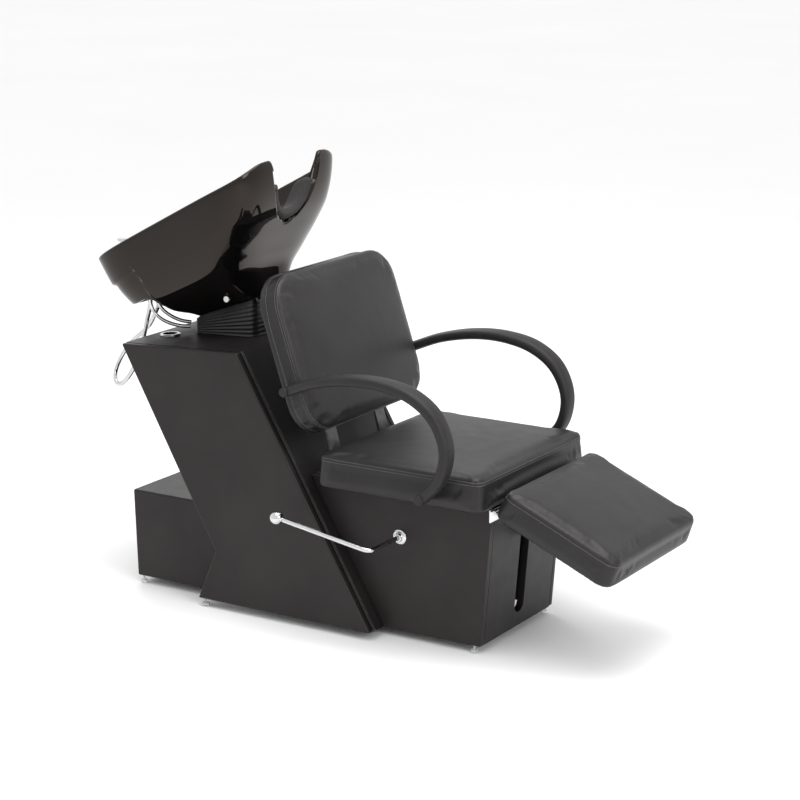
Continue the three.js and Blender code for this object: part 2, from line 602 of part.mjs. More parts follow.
function addTiltHinge() {
  const [pinX, pinZ] = TILT_PIN;
  const base = bodyTopZ(pinX) + GAP;
  const bore = rodY(TILT_PIN, [-80, 80], 4 + GAP, 14);
  const plate = box([-535.8, -494], [-56, 56], [base + 1.2, base + 4.6]);
  const knuckles = SIDES.flatMap(([, sign]) => {
    const y = span(sign, 26, 50);
    return [rodY(TILT_PIN, y, 8.5), box([pinX - 7, pinX + 7], y, [base + 2, pinZ - 3])];
  });
  add(unit, "tilt_bracket", cut(join(plate, ...knuckles), bore), "steel");
  const pin = join(rodY(TILT_PIN, [-54, 54], 4, 12), rodY(TILT_PIN, [-56, -51], 6, 12), rodY(TILT_PIN, [51, 56], 6, 12));
  add(unit, "tilt_pin", pin, "steel");

  const [pinU, pinW] = toBasin(TILT_PIN);
  const plateHalf = 50;
  const carrier = prism([[146, -238], [146, -243], [306, -263], [306, -258]], [-plateHalf, plateHalf]);
  const neck = prism([[pinU - 2, pinW + 6], [pinU + 4, pinW - 5], [150, -243], [150, -238.4], [126, -240.6]], [-24, 24]);
  const flanges = SIDES.map(([, sign]) => {
    return prism([[250, -253], [294, -259], [294, -222], [250, -222]], span(sign, plateHalf - 4, plateHalf));
  });
  const solid = join(carrier, neck, ...flanges, rodY([pinU, pinW], [-24, 24], 8.5));
  const drainWay = upright([DRAIN_U, 0], 24, [-300, -230]);
  const pinBore = rodY([pinU, pinW], [-30, 30], 4 + GAP, 14);
  const screwBores = rodY(CLAMP_SCREW, [-90, 90], 3.6, 12);
  add(basin, "tilt_cradle", cut(solid, drainWay, pinBore, screwBores), "steel");
  for (const [side, sign] of SIDES) {
    const head = rodY(CLAMP_SCREW, span(sign, 120, 125), 8, 16);
    const shank = rodY(CLAMP_SCREW, span(sign, 42, 121), 3, 12);
    add(basin, "clamp_screw_" + side, join(head, shank), "chrome");
  }
}

// The pleated boot is a plain hollow wedge here, open above and below.
function addBoot() {
  const floor = (x) => bodyTopZ(x) + 0.6;
  const [c, s] = [Math.cos(rad(BOWL_TILT)), Math.sin(rad(BOWL_TILT))];
  const world = (u, w) => [RIM_REAR[0] + u * c - w * s, RIM_REAR[1] + u * s + w * c];
  const [rear, front] = [world(...FOOT_REAR), world(...FOOT_FRONT)];
  const roof = (x) => rear[1] + ((x - rear[0]) * (front[1] - rear[1])) / (front[0] - rear[0]) - 2.4;
  const wedge = (x0, x1, half, extra) =>
    prism([[x0, floor(x0) - extra], [x0, roof(x0) + extra], [x1, roof(x1) + extra], [x1, floor(x1) - extra]], [-half, half]);
  add(unit, "tilt_boot", cut(wedge(-542, -340, 66, 0), wedge(-537, -346, 60.5, 40)), "rubber");
}

// ---- Mixer tap and hand spray on the basin's rear deck ----
function addTap() {
  const [u, v] = TAP;
  const body = turned([[0, -86], [12, -86], [12, -49.5], [25, -49.5], [25, -45], [21, -41], [20, -6], [0, -6]], u, v);
  const block = box([u - 16, u + 22], [v - 20, v + 20], [-104, -84]);
  add(basin, "mixer_body", join(body, block), "chrome");
  add(basin, "mixer_cap", turned([[0, -5.5], [20, -5.5], [20, 6], [16, 12], [0, 12]], u, v), "chrome");
  const lever = [[u + 14, 12.4], [u + 14, 18], [u - 20, 33], [u - 26, 28], [u - 12, 12.4]];
  add(basin, "mixer_lever", prism(lever, [v - 8, v + 8]), "chrome");
}

function addSpray() {
  const [u, v] = SPRAY;
  const socket = turned([[10.5, -66], [13.6, -66], [13.6, -49.6], [20, -49.6], [20, -46], [17, -43], [10.5, -43], [10.5, -66]], u, v);
  add(basin, "spray_socket", socket, "chrome");
  const spray = turned([[0, -92], [7, -92], [10, -86], [10, -42.5], [13, -38], [18, -14], [18, -4], [15, -1], [0, -1]], u, v);
  add(basin, "hand_spray", spray, "chrome");
}

// ---- Hoses ----
const SHOWER_HOSE = [
  [-651.8, -100, 772.6], [-647, -100, 763], [-644, -100, 742], [-646, -101, 716], [-654, -104, 680], [-660, -110, 642],
  [-668, -117, 602], [-684, -122, 560], [-710, -121, 524], [-741, -110, 503], [-770, -92, 503], [-788, -70, 522],
  [-786, -52, 552], [-768, -44, 584], [-739, -45, 612], [-705, -54, 636], [-677, -62, 660], [-657, -66, 690],
  [-646, -63, 718], [-643, -56, 748], [-650, -50, 772], [-656.9, -50, 783.2],
];
const SUPPLY_HOSES = {
  hot: [
    [-639.5, -118, 778.8], [-634.8, -118, 770], [-632, -117.5, 748], [-632, -114, 724], [-626, -108, 703],
    [-611, -98, 686], [-590, -86, 675], [-568, -72, 669], [-550, -60, 668],
  ],
  cold: [
    [-635.8, -100, 780.7], [-631, -100, 771.9], [-627, -100.5, 750], [-622, -98, 728], [-611, -91, 708],
    [-594, -79, 692], [-575, -64, 681], [-556, -48, 676],
  ],
};

function addHoses() {
  add(unit, "shower_hose", tube(SHOWER_HOSE, 6, 8, 42), "chrome");
  for (const [name, points] of Object.entries(SUPPLY_HOSES)) {
    add(unit, "supply_hose_" + name, tube(points, 5, 8, 12), "chrome");
  }
}

addBody();
addPlinth();
addBase();
addGlides();
addSeat();
addBackrest();
addArms();
addLegRest();
addStrut();
addLever();
addBasin();
addNeckRest();
addDrain();
addTiltHinge();
addBoot();
addTap();
addSpray();
addHoses();

export default unit;
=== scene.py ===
"""Looks of the shampoo backwash unit: upholstery, glossy basin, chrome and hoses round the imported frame."""

import json
import math

import bpy
import bmesh
import numpy as np
from mathutils import Matrix, Vector
from mathutils.bvhtree import BVHTree
from mathutils.kdtree import KDTree

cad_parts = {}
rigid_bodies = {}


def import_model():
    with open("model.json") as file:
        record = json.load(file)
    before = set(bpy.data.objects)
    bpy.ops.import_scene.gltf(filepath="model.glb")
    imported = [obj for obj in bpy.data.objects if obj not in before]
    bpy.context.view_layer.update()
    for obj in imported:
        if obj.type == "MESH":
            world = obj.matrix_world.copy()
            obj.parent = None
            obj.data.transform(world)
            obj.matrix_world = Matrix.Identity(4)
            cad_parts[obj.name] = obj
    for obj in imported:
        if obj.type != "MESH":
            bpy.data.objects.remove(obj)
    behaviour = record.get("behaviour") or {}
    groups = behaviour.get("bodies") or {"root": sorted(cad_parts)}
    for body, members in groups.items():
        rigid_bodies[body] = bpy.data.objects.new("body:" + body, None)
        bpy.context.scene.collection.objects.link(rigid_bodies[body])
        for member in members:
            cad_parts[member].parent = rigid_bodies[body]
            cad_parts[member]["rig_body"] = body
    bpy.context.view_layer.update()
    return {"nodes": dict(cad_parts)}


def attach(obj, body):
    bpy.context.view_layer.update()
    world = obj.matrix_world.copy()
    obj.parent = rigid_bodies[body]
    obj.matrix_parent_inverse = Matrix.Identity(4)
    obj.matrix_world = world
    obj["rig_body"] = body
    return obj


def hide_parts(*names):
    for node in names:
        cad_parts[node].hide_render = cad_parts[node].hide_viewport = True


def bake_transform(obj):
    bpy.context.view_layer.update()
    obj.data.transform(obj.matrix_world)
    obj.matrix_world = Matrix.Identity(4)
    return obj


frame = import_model()
scene = bpy.context.scene

# ---- Driving places, in millimetres in each part's own frame ----
SHIFT = 10  # the frame's centre shift along X
BASIN_RIM = (-740, 845)
BASIN_TILT = 28
BACK_FOOT = (-35, 500)
BACK_RECLINE = 18.5
LEG_HINGE = (415, 360)
LEG_SLOPE = 23.5
CAMERA_AT = (2.9741, -4.7286, 1.9392)
CAMERA_AZIMUTH = 31.749
CAMERA_ELEVATION = 14.127
CAMERA_LENS = 105.55


def frame_of(x, z, turn):
    """A part's own frame: its origin in X and Z in millimetres, and its turn about Y in degrees."""
    origin = Matrix.Translation(((x + SHIFT) / 1000, 0, z / 1000))
    return origin @ Matrix.Rotation(math.radians(turn), 4, "Y")


UNIT = frame_of(0, 0, 0)
BASIN = frame_of(*BASIN_RIM, -BASIN_TILT)
BACK = frame_of(*BACK_FOOT, -BACK_RECLINE)
LEG = frame_of(*LEG_HINGE, LEG_SLOPE)


# ---- Materials ----
def new_material(name, roughness, metallic=0.0, **fixed):
    material = bpy.data.materials.new(name)
    material.use_nodes = True
    shader = material.node_tree.nodes["Principled BSDF"]
    shader.inputs["Roughness"].default_value = roughness
    shader.inputs["Metallic"].default_value = metallic
    for socket, value in fixed.items():
        shader.inputs[socket.replace("_", " ")].default_value = value
    return material, material.node_tree, shader


def add_noise(tree, scale, detail=4.0, stretch=(1, 1, 1)):
    coords = tree.nodes.new("ShaderNodeTexCoord")
    mapping = tree.nodes.new("ShaderNodeMapping")
    mapping.inputs["Scale"].default_value = stretch
    noise = tree.nodes.new("ShaderNodeTexNoise")
    noise.inputs["Scale"].default_value = scale
    noise.inputs["Detail"].default_value = detail
    tree.links.new(coords.outputs["Object"], mapping.inputs["Vector"])
    tree.links.new(mapping.outputs["Vector"], noise.inputs["Vector"])
    return noise.outputs["Fac"], mapping.outputs["Vector"]


def vary_colour(tree, shader, factor, dark, light):
    ramp = tree.nodes.new("ShaderNodeValToRGB")
    ramp.color_ramp.elements[0].position = 0.3
    ramp.color_ramp.elements[1].position = 0.7
    ramp.color_ramp.elements[0].color = (*dark, 1)
    ramp.color_ramp.elements[1].color = (*light, 1)
    tree.links.new(factor, ramp.inputs["Fac"])
    tree.links.new(ramp.outputs["Color"], shader.inputs["Base Color"])


def vary_roughness(tree, shader, factor, low, high):
    spread = tree.nodes.new("ShaderNodeMapRange")
    spread.inputs["To Min"].default_value = low
    spread.inputs["To Max"].default_value = high
    tree.links.new(factor, spread.inputs["Value"])
    tree.links.new(spread.outputs["Result"], shader.inputs["Roughness"])


def add_bump(tree, shader, height, distance, strength=1.0, after=None):
    bump = tree.nodes.new("ShaderNodeBump")
    bump.inputs["Distance"].default_value = distance
    bump.inputs["Strength"].default_value = strength
    tree.links.new(height, bump.inputs["Height"])
    if after is not None:
        tree.links.new(after, bump.inputs["Normal"])
    tree.links.new(bump.outputs["Normal"], shader.inputs["Normal"])
    return bump.outputs["Normal"]


def leather(name, dark, light, gloss, roughness=(0.42, 0.56), crease=0.0012):
    """Leather-look vinyl: fine pebble grain over slow creases, with a little colour drift."""
    material, tree, shader = new_material(name, 0.5, Specular_IOR_Level=gloss,
                                          Specular_Tint=(1, 0.95, 0.94, 1))
    drift, coords = add_noise(tree, 7.0)
    vary_colour(tree, shader, drift, dark, light)
    patch, _ = add_noise(tree, 26.0)
    vary_roughness(tree, shader, patch, *roughness)
    creases, _ = add_noise(tree, 14.0, 3.0, (1, 1, 0.6))
    slow = add_bump(tree, shader, creases, crease, 0.5)
    pebble = tree.nodes.new("ShaderNodeTexVoronoi")
    pebble.feature = "SMOOTH_F1"
    pebble.inputs["Scale"].default_value = 780.0
    tree.links.new(coords, pebble.inputs["Vector"])
    add_bump(tree, shader, pebble.outputs["Distance"], 0.00022, 0.55, slow)
    return material


def plain(name, dark, light, roughness, metallic=0.0, scale=40.0, grain=500.0, depth=0.00004,
          stretch=(1, 1, 1), **fixed):
    """Metal, plastic, rubber or glaze: colour and roughness drift, and a fine surface grain."""
    material, tree, shader = new_material(name, roughness[0], metallic, **fixed)
    drift, _ = add_noise(tree, scale)
    vary_colour(tree, shader, drift, dark, light)
    vary_roughness(tree, shader, drift, *roughness)
    fine, _ = add_noise(tree, grain, 2.0, stretch)
    add_bump(tree, shader, fine, depth, 0.5)
    return material


VINYL = leather("vinyl_panel", (0.0070, 0.0060, 0.0059), (0.0125, 0.0108, 0.0106), 0.33)
SOFT_VINYL = leather("vinyl_cushion", (0.0085, 0.0082, 0.0090), (0.0145, 0.0139, 0.0150), 0.36,
                     (0.38, 0.50), 0.0012)
THREAD = plain("thread", (0.085, 0.083, 0.085), (0.150, 0.146, 0.150), (0.7, 0.8), grain=2500.0,
               depth=0.0001)
LINING = plain("lining_cloth", (0.010, 0.010, 0.010), (0.020, 0.020, 0.020), (0.85, 0.95), grain=1800.0,
               depth=0.0002)
# The glaze's warm specular tint is a painted reflection: it stands in for warm-brown surroundings reflected
# in the glossy bowl.
GLAZE = plain(
    "black_glaze", (0.0022, 0.0021, 0.0022), (0.0032, 0.0030, 0.0030), (0.035, 0.055),
    scale=9.0, grain=16.0, depth=0.00012, Specular_IOR_Level=0.36, Specular_Tint=(1.0, 0.84, 0.74, 1),
)
CHROME = plain("chrome", (0.56, 0.56, 0.57), (0.66, 0.66, 0.67), (0.05, 0.11), 1.0, depth=0.00001)
STEEL = plain("dark_steel", (0.10, 0.10, 0.105), (0.17, 0.17, 0.175), (0.35, 0.5), 1.0, 60.0, 900.0,
              stretch=(1, 12, 1))
ARM = plain("arm_foam_skin", (0.0085, 0.0072, 0.0074), (0.0130, 0.0112, 0.0114), (0.48, 0.60),
            grain=1400.0, depth=0.00015,
            Specular_IOR_Level=0.36)
RUBBER = plain("rubber", (0.022, 0.021, 0.021), (0.036, 0.034, 0.034), (0.75, 0.9), scale=160.0,
               grain=900.0, depth=0.0004,
               Specular_IOR_Level=0.3)
BOOT = plain("boot_vinyl", (0.006, 0.006, 0.0062), (0.011, 0.011, 0.0115), (0.30, 0.42), grain=600.0,
             depth=0.00008)
CLEAR = plain("clear_plastic", (0.72, 0.74, 0.74), (0.86, 0.88, 0.88), (0.12, 0.2), depth=0.00002,
              Transmission_Weight=0.6)


# ---- Mesh helpers ----
def piece(name, points, faces, place, material, body, slot, replaced=(), smooth=True):
    """A mesh object from points in millimetres in a part's frame, riding on a CAD body."""
    mesh = bpy.data.meshes.new(name)
    mesh.from_pydata([tuple(p) for p in np.asarray(points, float) / 1000], [], [tuple(f) for f in faces])
    mesh.transform(place)
    made = bpy.data.objects.new(name, mesh)
    scene.collection.objects.link(made)
    return dress(made, material, body, replaced, smooth)


def dress(made, material, body, replaced=(), smooth=True):
    tidy = bmesh.new()
    tidy.from_mesh(made.data)
    bmesh.ops.remove_doubles(tidy, verts=tidy.verts, dist=1e-6)
    bmesh.ops.recalc_face_normals(tidy, faces=tidy.faces)
    tidy.to_mesh(made.data)
    tidy.free()
    made.data.materials.clear()
    made.data.materials.append(material)
    made.data.polygons.foreach_set("use_smooth", [smooth] * len(made.data.polygons))
    if body is not None:
        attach(made, body)
    if replaced:
        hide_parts(*replaced)
    return made


def apply_modifiers(made):
    bpy.context.view_layer.update()
    graph = bpy.context.evaluated_depsgraph_get()
    final = bpy.data.meshes.new_from_object(made.evaluated_get(graph))
    made.modifiers.clear()
    made.data = final
    return made


def soften(made, radius, segments=3, angle=30):
    """Rounds the hard edges and evens the normals of the flats."""
    bevel = made.modifiers.new("edges", "BEVEL")
    bevel.width = radius / 1000
    bevel.segments = segments
    bevel.limit_method = "ANGLE"
    bevel.angle_limit = math.radians(angle)
    made.modifiers.new("normals", "WEIGHTED_NORMAL")
    return apply_modifiers(made)


def rounded_copy(node, radius, material, segments=3, angle=30):
    """The CAD node's shape with rounded edges, in its place."""
    source = frame["nodes"][node]
    made = bpy.data.objects.new(node + "_skin", source.data.copy())
    scene.collection.objects.link(made)
    tidy = bmesh.new()
    tidy.from_mesh(made.data)
    bmesh.ops.remove_doubles(tidy, verts=tidy.verts, dist=1e-5)
    bmesh.ops.dissolve_limit(tidy, angle_limit=math.radians(1), verts=tidy.verts, edges=tidy.edges)
    tidy.to_mesh(made.data)
    tidy.free()
    dress(made, material, source["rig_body"], [node])
    return soften(made, radius, segments, angle)


def skin(rings, closed=True):
    """Faces over rings of equal count, with both ends capped when closed."""
    levels, count = len(rings), len(rings[0])
    faces = []
    for level in range(levels - 1):
        for i in range(count):
            j = (i + 1) % count
            a, b = level * count, (level + 1) * count
            faces.append((a + i, a + j, b + j, b + i))
    if closed:
        faces.append(tuple(range(count))[::-1])
        faces.append(tuple((levels - 1) * count + i for i in range(count)))
    return np.concatenate([np.asarray(r, float) for r in rings]), faces


def smooth_curve(points, per_span=14):
    """A centripetal curve through the points."""
    given = np.asarray(points, float)
    given = np.vstack([2 * given[0] - given[1], given, 2 * given[-1] - given[-2]])
    line = []
    for i in range(1, len(given) - 2):
        p = given[i - 1 : i + 3]
        knots = np.concatenate([[0], np.cumsum(np.linalg.norm(np.diff(p, axis=0), axis=1) ** 0.5)])
        for t in np.linspace(knots[1], knots[2], per_span, endpoint=False):
            level = [
                ((knots[k + 1] - t) * p[k] + (t - knots[k]) * p[k + 1]) / (knots[k + 1] - knots[k])
                for k in range(3)
            ]
            level = [
                ((knots[k + 2] - t) * level[k] + (t - knots[k]) * level[k + 1]) / (knots[k + 2] - knots[k])
                for k in range(2)
            ]
            line.append(((knots[2] - t) * level[0] + (t - knots[1]) * level[1]) / (knots[2] - knots[1]))
    line.append(given[-2])
    return np.array(line)


def even(line, step):
    """The line cut into equal steps."""
    line = np.asarray(line, float)
    walked = np.concatenate([[0], np.cumsum(np.linalg.norm(np.diff(line, axis=0), axis=1))])
    count = max(2, round(walked[-1] / step) + 1)
    marks = np.linspace(0, walked[-1], count)
    return np.array([np.interp(marks, walked, line[:, k]) for k in range(3)]).T


def tube_rings(line, radii, sides):
    line = np.asarray(line, float)
    tangents = np.gradient(line, axis=0)
    tangents /= np.linalg.norm(tangents, axis=1)[:, None]
    side = np.cross(tangents[0], (0.3, 0.2, 1.0))
    rings = []
    for point, tangent, radius in zip(line, tangents, np.broadcast_to(radii, len(line))):
        side = side - tangent * side.dot(tangent)
        side /= np.linalg.norm(side)
        other = np.cross(tangent, side)
        turns = np.arange(sides) * 2 * math.pi / sides
        rings.append(point + radius * (np.cos(turns)[:, None] * side + np.sin(turns)[:, None] * other))
    return rings


def lathe(name, profile, origin, axis, place, material, body, slot, replaced=(), sides=48):
    """A turned piece: profile pairs are radius and height along axis from origin."""
    turn = Vector((0, 0, 1)).rotation_difference(Vector(axis)).to_matrix().to_4x4()
    turns = np.arange(sides) * 2 * math.pi / sides
    rings = [np.array([(r * math.cos(t), r * math.sin(t), h) for t in turns]) for r, h in profile]
    points, faces = skin(rings, closed=profile[0] != profile[-1])
    local = place @ Matrix.Translation(Vector(origin) / 1000) @ turn
    return piece(name, points, faces, local, material, body, slot, replaced)


def rounded_profile(corners, radius, steps=4):
    """Lathe corners eased by small arcs; the first and last stay as they are."""
    done = [corners[0]]
    for before, corner, after in zip(corners, corners[1:], corners[2:]):
        b, c, a = (np.array(p, float) for p in (before, corner, after))
        reach = min(radius, np.linalg.norm(b - c) / 2.2, np.linalg.norm(a - c) / 2.2)
        start = c + (b - c) / np.linalg.norm(b - c) * reach
        end = c + (a - c) / np.linalg.norm(a - c) * reach
        for t in np.linspace(0, 1, steps + 1):
            done.append(tuple((1 - t) ** 2 * start + 2 * t * (1 - t) * c + t * t * end))
    return done + [corners[-1]]


def rounded_rectangle(x, y, radius, count=96):
    """A closed ring of count points round a rectangle whose corners are arcs."""
    corners = [(x[1] - radius, y[1] - radius, 0), (x[0] + radius, y[1] - radius, 90),
               (x[0] + radius, y[0] + radius, 180), (x[1] - radius, y[0] + radius, 270)]
    line = []
    for cx, cy, first in corners:
        for turn in np.radians(np.linspace(first, first + 90, 17)):
            line.append((cx + radius * math.cos(turn), cy + radius * math.sin(turn), 0))
    line.append(line[0])
    line = np.array(line)
    walked = np.concatenate([[0], np.cumsum(np.linalg.norm(np.diff(line, axis=0), axis=1))])
    marks = np.linspace(0, walked[-1], count, endpoint=False)
    return np.array([np.interp(marks, walked, line[:, k]) for k in range(3)]).T


# ---- Soft goods: a pad swells by cloth simulation, then gets its seams and stitches ----
def remesh(made, voxel):
    cells = made.modifiers.new("cells", "REMESH")
    cells.mode = "VOXEL"
    cells.voxel_size = voxel / 1000
    return apply_modifiers(made)


def swell(made, pressure, most, held, frames=20):
    """Blows the pad up a little by cloth simulation; no point moves more than `most` millimetres."""
    rest = np.array([v.co for v in made.data.vertices])
    group = made.vertex_groups.new(name="held")
    group.add([i for i, p in enumerate(rest) if held(Vector(p))], 1.0, "REPLACE")
    cloth = made.modifiers.new("cloth", "CLOTH")
    cloth.settings.quality = 5
    cloth.settings.use_pressure = True
    cloth.settings.uniform_pressure_force = pressure
    cloth.settings.vertex_group_mass = "held"
    cloth.settings.effector_weights.gravity = 0
    cloth.point_cache.frame_start = 1
    cloth.point_cache.frame_end = frames
    for number in range(1, frames + 1):
        scene.frame_set(number)
    moved = made.evaluated_get(bpy.context.evaluated_depsgraph_get())
    shift = np.array([v.co for v in moved.data.vertices]) - rest
    size = np.linalg.norm(shift, axis=1)[:, None]
    shift *= np.minimum(1, most / 1000 / np.maximum(size, 1e-9))
    made.modifiers.clear()
    made.data.vertices.foreach_set("co", (rest + shift).ravel())
    scene.frame_set(1)
    made.vertex_groups.clear()
    finer = made.modifiers.new("finer", "SUBSURF")
    finer.levels = 1
    return apply_modifiers(made)


def fill_box(made, place, low, high):
    """Stretches the swollen pad so it fills its box, given in millimetres in its part's frame."""
    places = np.empty(len(made.data.vertices) * 3)
    made.data.transform(place.inverted())
    made.data.vertices.foreach_get("co", places)
    places = places.reshape(-1, 3)
    low, high = np.array(low) / 1000, np.array(high) / 1000
    size = places.max(axis=0) - places.min(axis=0)
    places = low + (places - places.min(axis=0)) * (high - low) / size
    made.data.vertices.foreach_set("co", places.ravel())
    made.data.transform(place)
    made.data.update()


def press(made, lines, depth, width):
    """Pulls the surface in along sewn lines, given in metres in the row frame."""
    marks = np.concatenate([even(line, 0.002) for line in lines])
    tree = KDTree(len(marks))
    for i, mark in enumerate(marks):
        tree.insert(Vector(mark), i)
    tree.balance()
    count = len(made.data.vertices)
    places, normals = np.empty(count * 3), np.empty(count * 3)
    made.data.vertices.foreach_get("co", places)
    made.data.vertices.foreach_get("normal", normals)
    places, normals = places.reshape(-1, 3), normals.reshape(-1, 3)
    near = np.array([tree.find(Vector(place))[2] for place in places]) * 1000 / width
    places -= normals * (depth / 1000 * np.exp(-(near**2)))[:, None]
    made.data.vertices.foreach_set("co", places.ravel())
    made.data.update()
    return made


def stitches(name, lines, on, body, pitch=5.6, long=4.2, thick=0.6, lift=0.15):
    """Rows of short thread stitches lying on a piece along lines given in metres in the row frame."""
    surface = BVHTree.FromPolygons([v.co for v in on.data.vertices], [p.vertices for p in on.data.polygons])
    sides = 5
    turns = np.arange(sides) * 2 * math.pi / sides
    stations = [(-0.5, 0.35), (-0.3, 1.0), (0.3, 1.0), (0.5, 0.35)]
    points, faces = [], []
    for line in lines:
        marks = even(line, pitch / 1000)
        tangents = np.gradient(marks, axis=0)
        for mark, tangent in zip(marks, tangents):
            at, normal, _, away = surface.find_nearest(Vector(mark))
            if at is None or away > 0.012:
                continue
            along = Vector(tangent).normalized()
            along = (along - normal * along.dot(normal)).normalized()
            across = normal.cross(along)
            centre = at + normal * (lift / 1000)
            first = len(points)
            for reach, scale in stations:
                for turn in turns:
                    offset = across * math.cos(turn) + normal * math.sin(turn)
                    thread = centre + along * (reach * long / 1000) + offset * (scale * thick / 1000)
                    points.append(thread * 1000)
            for level in range(len(stations) - 1):
                for i in range(sides):
                    j = (i + 1) % sides
                    a, b = first + level * sides, first + (level + 1) * sides
                    faces.append((a + i, a + j, b + j, b + i))
            faces.append(tuple(first + i for i in range(sides))[::-1])
            faces.append(tuple(first + 3 * sides + i for i in range(sides)))
    return piece(name, points, faces, Matrix.Identity(4), THREAD, body, "leather")


def in_row(place, line):
    """A line in millimetres in a part's frame, as metres in the row frame."""
    return np.array([place @ (Vector(p) / 1000) for p in line])


def pad_block(name, x, y, low, high, corner, edge, crown, place, axes):
    """A pad's starting block, its upper face crowned; axes turns (x, y, height) into its frame."""
    rings = []
    for inset, height in [(edge * 0.5, low), (0, low + edge * 0.5)]:
        rings.append((inset, height))
    for turn in np.radians(np.linspace(0, 90, 7)):
        rings.append((edge * (1 - math.cos(turn)), high - edge * (1 - math.sin(turn))))
    centre = np.array([(x[0] + x[1]) / 2, (y[0] + y[1]) / 2])
    half = np.array([(x[1] - x[0]) / 2, (y[1] - y[0]) / 2])
    for share in (0.15, 0.3, 0.45, 0.6, 0.75, 0.9):
        rings.append((edge + share * (min(half) - edge), high))
    built = []
    for inset, height in rings:
        reach = max(3.0, corner - inset)
        loop = rounded_rectangle((x[0] + inset, x[1] - inset), (y[0] + inset, y[1] - inset), reach, 120)
        off = (loop[:, :2] - centre) / half
        swollen = crown * np.clip(1 - off[:, 0] ** 2, 0, 1) * np.clip(1 - off[:, 1] ** 2, 0, 1)
        loop[:, 2] = height + (swollen if height > (low + high) / 2 else 0)
        built.append(np.array([axes(*p) for p in loop]))
    points, faces = skin(built)
    mesh = bpy.data.meshes.new(name)
    mesh.from_pydata([tuple(p) for p in points / 1000], [], faces)
    mesh.transform(place)
    made = bpy.data.objects.new(name, mesh)
    scene.collection.objects.link(made)
    return made


def ring_line(x, y, corner, height, axes, place):
    loop = rounded_rectangle(x, y, corner, 200)
    loop = np.vstack([loop, loop[:1]])
    loop[:, 2] = height
    return in_row(place, [axes(*p) for p in loop])


def level(x, y, z):
    return (x, y, z)


def upright(x, y, z):
    """The backrest's frame: the block's height is its depth from the rear face, counted forwards."""
    return (z - 60, y, x)


def seat():
    x, y, low, high, corner = (-41, 420), (-265, 265), 372.4, 457, 24
    made = pad_block("seat_upholstery", x, y, low, high, corner, 10, 6, UNIT, level)
    remesh(made, 6)
    swell(made, 3.0, 5, lambda p: p.z < 0.382)
    fill_box(made, UNIT, (-42, -266, 372.3), (421, 266, 465))
    dress(made, SOFT_VINYL, "main", ["seat_frame", "seat_cushion"])
    seam = ring_line(x, y, corner, high - 15, level, UNIT)
    press(made, [seam], 2.6, 3.4)
    rows = [ring_line(x, y, corner, high - 15 + d, level, UNIT) for d in (-4, 4)]
    stitches("seat_stitching", rows, made, "main")


def backrest():
    x, y, low, high, corner = (-3, 391), (-265, 265), 0.5, 60, 88
    made = pad_block("backrest_upholstery", x, y, low, high, corner, 11, 21, BACK, upright)
    remesh(made, 6)
    rear = BACK.inverted()
    swell(made, 3.0, 5, lambda p: (rear @ p).x < -0.052)
    fill_box(made, BACK, (-60, -266, -4), (24, 266, 392))
    dress(made, SOFT_VINYL, "main", ["backrest_frame", "backrest_cushion"])
    front_seam = ring_line(x, y, corner, high - 9, upright, BACK)
    rear_seam = ring_line(x, y, corner, 16, upright, BACK)
    press(made, [front_seam, rear_seam], 2.6, 3.4)
    rows = [ring_line(x, y, corner, high - 9 + d, upright, BACK) for d in (-4, 4)]
    rows.append(ring_line(x, y, corner, 20, upright, BACK))
    stitches("backrest_stitching", rows, made, "main")


def leg_rest():
    x, y, low, high, corner = (3, 335), (-228, 228), 5, 78, 34
    made = pad_block("leg_rest_upholstery", x, y, low, high, corner, 12, 7, LEG, level)
    remesh(made, 6)
    under = LEG.inverted()
    swell(made, 3.0, 5, lambda p: (under @ p).z < 0.014)
    fill_box(made, LEG, (2, -229, 4), (336, 229, 88))
    dress(made, SOFT_VINYL, "leg_rest", ["leg_rest_pad", "leg_rest_board"])
    seam = ring_line(x, y, corner, high - 11, level, LEG)
    press(made, [seam], 2.6, 3.4)
    rows = [ring_line(x, y, corner, high - 15, level, LEG)]
    stitches("leg_rest_stitching", rows, made, "leg_rest")


# ---- Upholstered boxes ----
BODY_OUTLINE = [(-409, 20), (-353, 152), (-631, 648), (-280, 665), (101, 20)]
BODY_HALF = 242
BASE_HALF = 180


def edge_line(a, b, y):
    return in_row(UNIT, [(a[0], y, a[1]), (b[0], y, b[1])])


def boxes():
    for node in ("body_side_panel_r", "body_side_panel_l"):
        rounded_copy(node, 5.5, VINYL, 4)
    for node in ("body_rear_upper_panel", "body_top_panel", "body_front_panel"):
        rounded_copy(node, 1.5, VINYL, 2)
    rounded_copy("plinth_shell", 5, VINYL, 4)
    for node in ("base_side_panel_r", "base_side_panel_l"):
        rounded_copy(node, 4, VINYL, 4)
    rounded_copy("base_front_panel", 1.5, VINYL, 2)
    front = bpy.data.objects["body_front_panel_skin"]
    lines = []
    for sign in (-1, 1):
        for inset in (24, 29):
            lines.append(edge_line(BODY_OUTLINE[3], BODY_OUTLINE[4], sign * (BODY_HALF - inset)))
    stitches("body_stitching", lines, front, "main")
    for sign, side in ((-1, "r"), (1, "l")):
        welt_line = edge_line(BODY_OUTLINE[3], BODY_OUTLINE[4], sign * (BODY_HALF - 19.5))
        welt_line = welt_line + np.array([0.0012, 0, 0.0006])
        rings = tube_rings(even(welt_line, 0.006) * 1000, 1.6, 10)
        piece("body_welt_" + side, *skin(rings), Matrix.Identity(4), VINYL, "main", "leather")


# ---- Armrests ----
ARM_STATIONS = [
    (-97, 604, 281, 25, 40), (-17, 635, 291, 25, 42), (87, 656, 295, 27, 46), (176, 657, 295, 29, 49),
    (250, 641, 295, 31, 50), (307, 605, 295, 31, 49), (337, 557, 295, 29, 47), (345, 510, 295, 27, 46),
    (329, 452, 295, 27, 45), (281, 400, 292, 27, 42),
]


ARM_CUTS = 32  # rings in each span of the armrest


